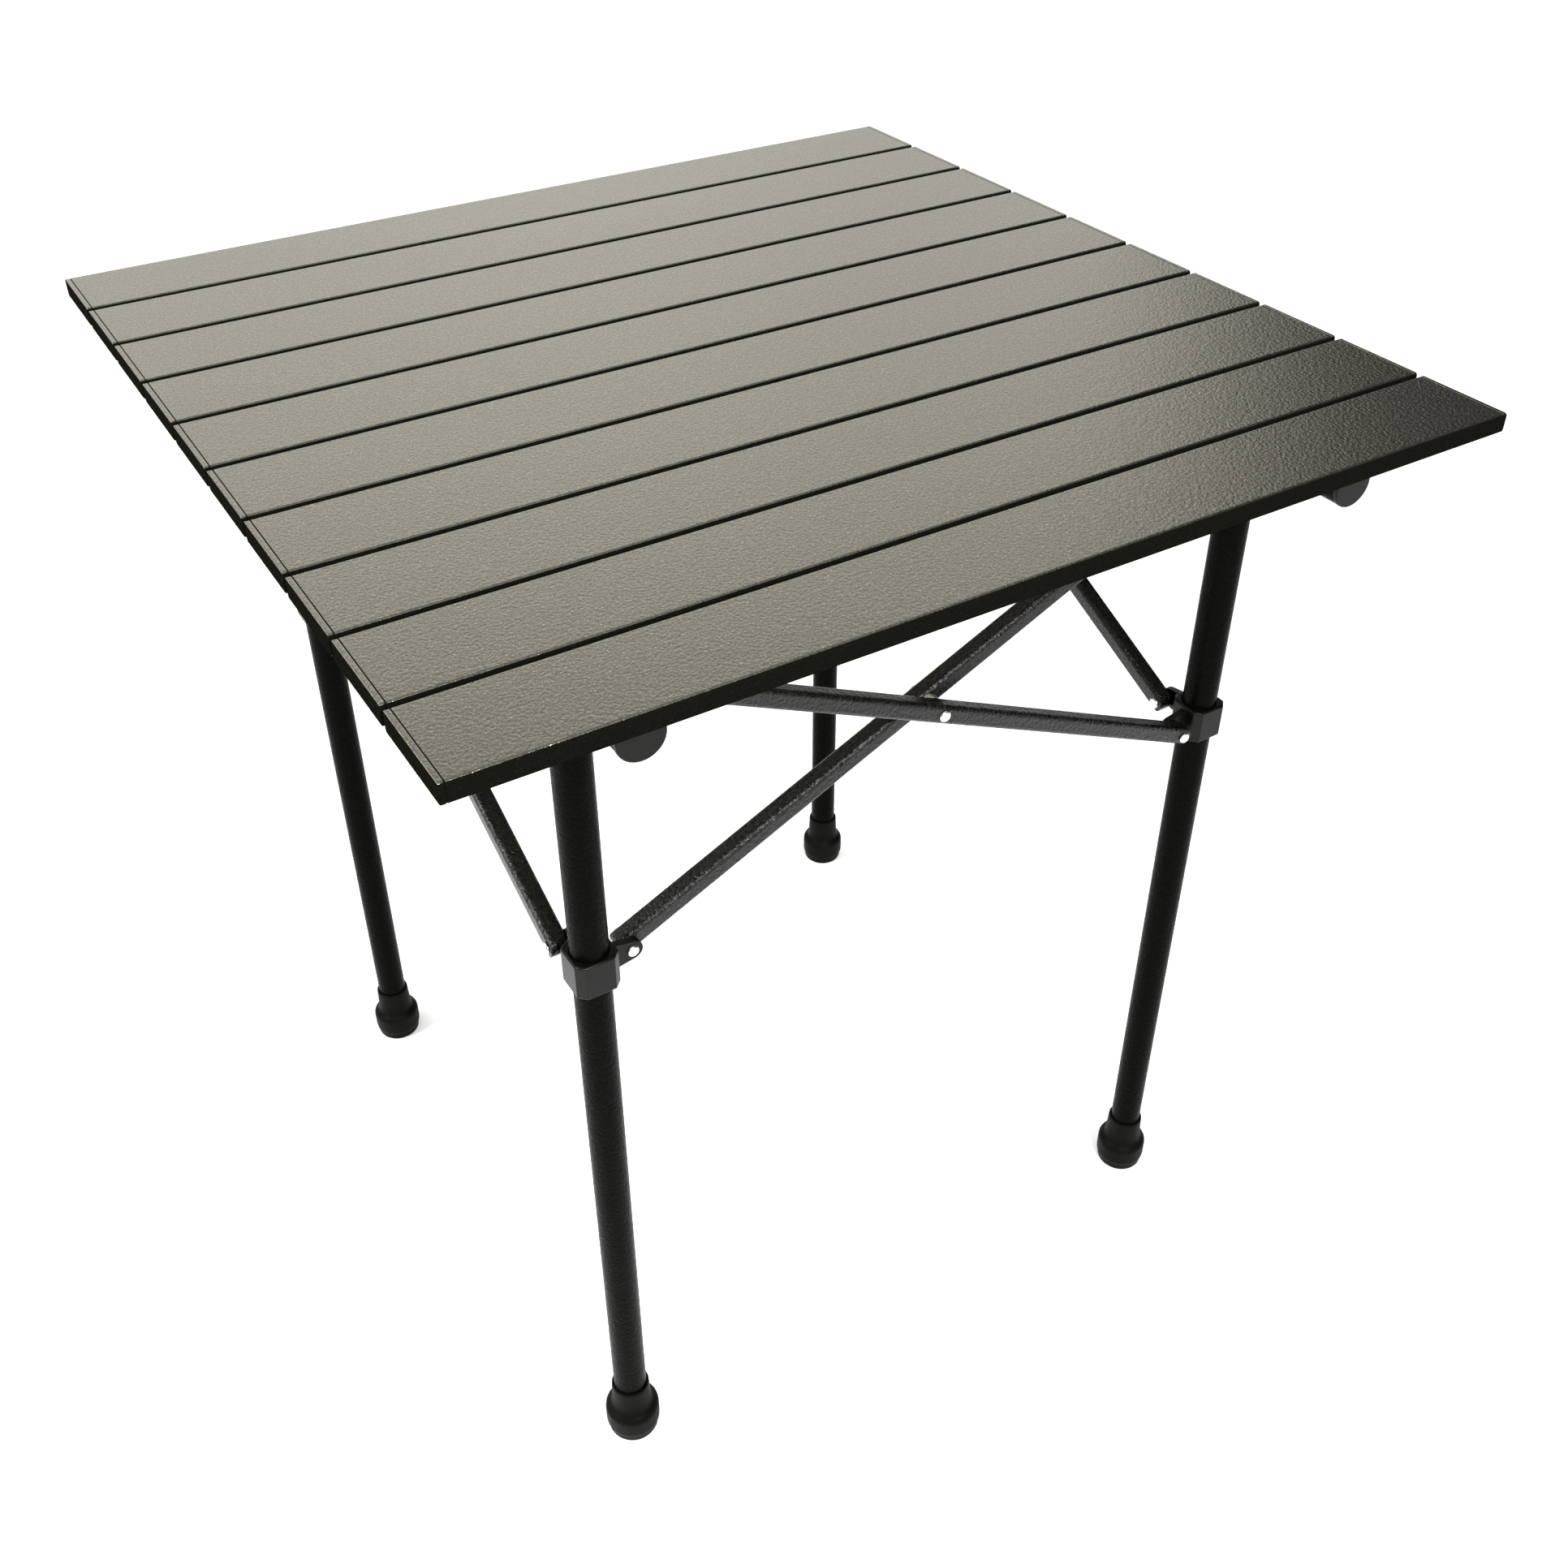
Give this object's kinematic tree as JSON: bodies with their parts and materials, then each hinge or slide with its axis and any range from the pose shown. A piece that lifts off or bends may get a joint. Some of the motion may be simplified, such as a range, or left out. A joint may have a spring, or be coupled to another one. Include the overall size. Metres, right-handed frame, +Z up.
{
  "type": "folding side table",
  "caption": "Square folding side table: a roll-up slatted top on two rails over a frame of upright legs and crossed scissor braces that folds into a bundle.",
  "frame": {"origin": "on the floor under the middle of the top", "axes": "+Z up, +X along the slats' length, -Y towards the front slat, which is slat 10"},
  "size_m": [0.7, 0.6966, 0.73],
  "materials": {
    "slat_aluminium": "textured dark powder coat",
    "cap_plastic": "satin",
    "frame_tube": "black hammered powder coat",
    "black_plastic": "fine textured",
    "rivet_steel": "satin",
    "foot_rubber": "matt"
  },
  "bodies": {
    "leg_front_left": {"leg_front_left": "frame_tube", "head_front_left": "black_plastic", "head_rivets_front_left": "rivet_steel", "foot_front_left": "foot_rubber"},
    "leg_front_right": {"leg_front_right": "frame_tube", "head_front_right": "black_plastic", "head_rivets_front_right": "rivet_steel", "foot_front_right": "foot_rubber"},
    "leg_back_right": {"leg_back_right": "frame_tube", "head_back_right": "black_plastic", "head_rivets_back_right": "rivet_steel", "foot_back_right": "foot_rubber"},
    "leg_back_left": {"leg_back_left": "frame_tube", "head_back_left": "black_plastic", "head_rivets_back_left": "rivet_steel", "foot_back_left": "foot_rubber"},
    "outer_brace_front": {"outer_brace_front": "frame_tube", "cross_rivet_front": "rivet_steel"},
    "inner_brace_front": {"inner_brace_front": "frame_tube"},
    "outer_brace_right": {"outer_brace_right": "frame_tube", "cross_rivet_right": "rivet_steel"},
    "inner_brace_right": {"inner_brace_right": "frame_tube"},
    "outer_brace_back": {"outer_brace_back": "frame_tube", "cross_rivet_back": "rivet_steel"},
    "inner_brace_back": {"inner_brace_back": "frame_tube"},
    "outer_brace_left": {"outer_brace_left": "frame_tube", "cross_rivet_left": "rivet_steel"},
    "inner_brace_left": {"inner_brace_left": "frame_tube"},
    "slider_front_left": {"slider_front_left": "black_plastic", "slider_rivets_front_left": "rivet_steel"},
    "slider_front_right": {"slider_front_right": "black_plastic", "slider_rivets_front_right": "rivet_steel"},
    "slider_back_right": {"slider_back_right": "black_plastic", "slider_rivets_back_right": "rivet_steel"},
    "slider_back_left": {"slider_back_left": "black_plastic", "slider_rivets_back_left": "rivet_steel"},
    "rails": {"rail_left": "frame_tube", "rail_right": "frame_tube", "rail_plugs_left": "black_plastic", "rail_plugs_right": "black_plastic", "slat_10": "slat_aluminium", "slat_fittings_10": "cap_plastic"},
    "slat_09": {"slat_09": "slat_aluminium", "slat_fittings_09": "cap_plastic"},
    "slat_08": {"slat_08": "slat_aluminium", "slat_fittings_08": "cap_plastic"},
    "slat_07": {"slat_07": "slat_aluminium", "slat_fittings_07": "cap_plastic"},
    "slat_06": {"slat_06": "slat_aluminium", "slat_fittings_06": "cap_plastic"},
    "slat_05": {"slat_05": "slat_aluminium", "slat_fittings_05": "cap_plastic"},
    "slat_04": {"slat_04": "slat_aluminium", "slat_fittings_04": "cap_plastic"},
    "slat_03": {"slat_03": "slat_aluminium", "slat_fittings_03": "cap_plastic"},
    "slat_02": {"slat_02": "slat_aluminium", "slat_fittings_02": "cap_plastic"},
    "slat_01": {"slat_01": "slat_aluminium", "slat_fittings_01": "cap_plastic"}
  },
  "joints": [
    {"name": "frame_fold", "type": "hinge", "parent": "leg_front_left", "child": "outer_brace_front", "pos_m": [-0.215, -0.2513, 0.679], "axis": [0, 1, 0], "range_deg": [0, 60]},
    {"name": "front_scissor", "type": "hinge", "parent": "outer_brace_front", "child": "inner_brace_front", "pos_m": [0, -0.242, 0.579], "axis": [0, -1, 0], "range_deg": [0, 120]},
    {"name": "front_right_head_pivot", "type": "hinge", "parent": "inner_brace_front", "child": "leg_front_right", "pos_m": [0.215, -0.2327, 0.679], "axis": [0, 1, 0], "range_deg": [0, 60]},
    {"name": "front_right_slider_pivot", "type": "hinge", "parent": "outer_brace_front", "child": "slider_front_right", "pos_m": [0.215, -0.2513, 0.479], "axis": [0, -1, 0], "range_deg": [0, 60]},
    {"name": "front_left_slider_pivot", "type": "hinge", "parent": "inner_brace_front", "child": "slider_front_left", "pos_m": [-0.215, -0.2327, 0.479], "axis": [0, 1, 0], "range_deg": [0, 60]},
    {"name": "front_left_side_pivot", "type": "hinge", "parent": "leg_front_left", "child": "inner_brace_left", "pos_m": [-0.2327, -0.215, 0.679], "axis": [-1, 0, 0], "range_deg": [0, 60]},
    {"name": "left_scissor", "type": "hinge", "parent": "inner_brace_left", "child": "outer_brace_left", "pos_m": [-0.242, 0, 0.579], "axis": [1, 0, 0], "range_deg": [0, 120]},
    {"name": "back_left_head_pivot", "type": "hinge", "parent": "outer_brace_left", "child": "leg_back_left", "pos_m": [-0.2513, 0.215, 0.679], "axis": [-1, 0, 0], "range_deg": [0, 60]},
    {"name": "back_left_slider_pivot", "type": "hinge", "parent": "inner_brace_left", "child": "slider_back_left", "pos_m": [-0.2327, 0.215, 0.479], "axis": [1, 0, 0], "range_deg": [0, 60]},
    {"name": "front_right_side_pivot", "type": "hinge", "parent": "leg_front_right", "child": "outer_brace_right", "pos_m": [0.2513, -0.215, 0.679], "axis": [-1, 0, 0], "range_deg": [0, 60]},
    {"name": "right_scissor", "type": "hinge", "parent": "outer_brace_right", "child": "inner_brace_right", "pos_m": [0.242, 0, 0.579], "axis": [1, 0, 0], "range_deg": [0, 120]},
    {"name": "back_right_head_pivot", "type": "hinge", "parent": "inner_brace_right", "child": "leg_back_right", "pos_m": [0.2327, 0.215, 0.679], "axis": [-1, 0, 0], "range_deg": [0, 60]},
    {"name": "back_right_slider_pivot", "type": "hinge", "parent": "outer_brace_right", "child": "slider_back_right", "pos_m": [0.2513, 0.215, 0.479], "axis": [1, 0, 0], "range_deg": [0, 60]},
    {"name": "back_right_side_pivot", "type": "hinge", "parent": "leg_back_right", "child": "outer_brace_back", "pos_m": [0.215, 0.2513, 0.679], "axis": [0, -1, 0], "range_deg": [0, 60]},
    {"name": "back_scissor", "type": "hinge", "parent": "outer_brace_back", "child": "inner_brace_back", "pos_m": [0, 0.242, 0.579], "axis": [0, 1, 0], "range_deg": [0, 120]},
    {"name": "top_lift", "type": "slide", "parent": "leg_front_left", "child": "rails", "axis": [0, 0, 1], "range_m": [0, 0.15]},
    {"name": "top_roll", "type": "hinge", "parent": "rails", "child": "slat_09", "pos_m": [0, -0.28, 0.73], "axis": [1, 0, 0], "range_deg": [0, 56.3]},
    {"name": "slat_08_roll", "type": "hinge", "parent": "slat_09", "child": "slat_08", "pos_m": [0, -0.21, 0.73], "axis": [1, 0, 0], "range_deg": [0, 57.81]},
    {"name": "slat_07_roll", "type": "hinge", "parent": "slat_08", "child": "slat_07", "pos_m": [0, -0.14, 0.73], "axis": [1, 0, 0], "range_deg": [0, 61.01]},
    {"name": "slat_06_roll", "type": "hinge", "parent": "slat_07", "child": "slat_06", "pos_m": [0, -0.07, 0.73], "axis": [1, 0, 0], "range_deg": [0, 52.51]},
    {"name": "slat_05_roll", "type": "hinge", "parent": "slat_06", "child": "slat_05", "pos_m": [0, 0, 0.73], "axis": [1, 0, 0], "range_deg": [0, 65.91]},
    {"name": "slat_04_roll", "type": "hinge", "parent": "slat_05", "child": "slat_04", "pos_m": [0, 0.07, 0.73], "axis": [1, 0, 0], "range_deg": [0, 85.91]},
    {"name": "slat_03_roll", "type": "hinge", "parent": "slat_04", "child": "slat_03", "pos_m": [0, 0.14, 0.73], "axis": [1, 0, 0], "range_deg": [0, 62.11]},
    {"name": "slat_02_roll", "type": "hinge", "parent": "slat_03", "child": "slat_02", "pos_m": [0, 0.21, 0.73], "axis": [1, 0, 0], "range_deg": [0, 109.71]},
    {"name": "slat_01_roll", "type": "hinge", "parent": "slat_02", "child": "slat_01", "pos_m": [0, 0.28, 0.73], "axis": [1, 0, 0], "range_deg": [0, 93.01]}
  ],
  "couplings": [
    {"joint": "front_scissor", "follows": "frame_fold", "ratio": 2},
    {"joint": "front_right_head_pivot", "follows": "frame_fold", "ratio": 1},
    {"joint": "front_right_slider_pivot", "follows": "frame_fold", "ratio": 1},
    {"joint": "front_left_slider_pivot", "follows": "frame_fold", "ratio": 1},
    {"joint": "front_left_side_pivot", "follows": "frame_fold", "ratio": 1},
    {"joint": "left_scissor", "follows": "frame_fold", "ratio": 2},
    {"joint": "back_left_head_pivot", "follows": "frame_fold", "ratio": 1},
    {"joint": "back_left_slider_pivot", "follows": "frame_fold", "ratio": 1},
    {"joint": "front_right_side_pivot", "follows": "frame_fold", "ratio": 1},
    {"joint": "right_scissor", "follows": "frame_fold", "ratio": 2},
    {"joint": "back_right_head_pivot", "follows": "frame_fold", "ratio": 1},
    {"joint": "back_right_slider_pivot", "follows": "frame_fold", "ratio": 1},
    {"joint": "back_right_side_pivot", "follows": "frame_fold", "ratio": 1},
    {"joint": "back_scissor", "follows": "frame_fold", "ratio": 2},
    {"joint": "slat_08_roll", "follows": "top_roll", "ratio": 1.0266},
    {"joint": "slat_07_roll", "follows": "top_roll", "ratio": 1.0835},
    {"joint": "slat_06_roll", "follows": "top_roll", "ratio": 0.9325},
    {"joint": "slat_05_roll", "follows": "top_roll", "ratio": 1.1705},
    {"joint": "slat_04_roll", "follows": "top_roll", "ratio": 1.5258},
    {"joint": "slat_03_roll", "follows": "top_roll", "ratio": 1.103},
    {"joint": "slat_02_roll", "follows": "top_roll", "ratio": 1.9485},
    {"joint": "slat_01_roll", "follows": "top_roll", "ratio": 1.6519}
  ]
}
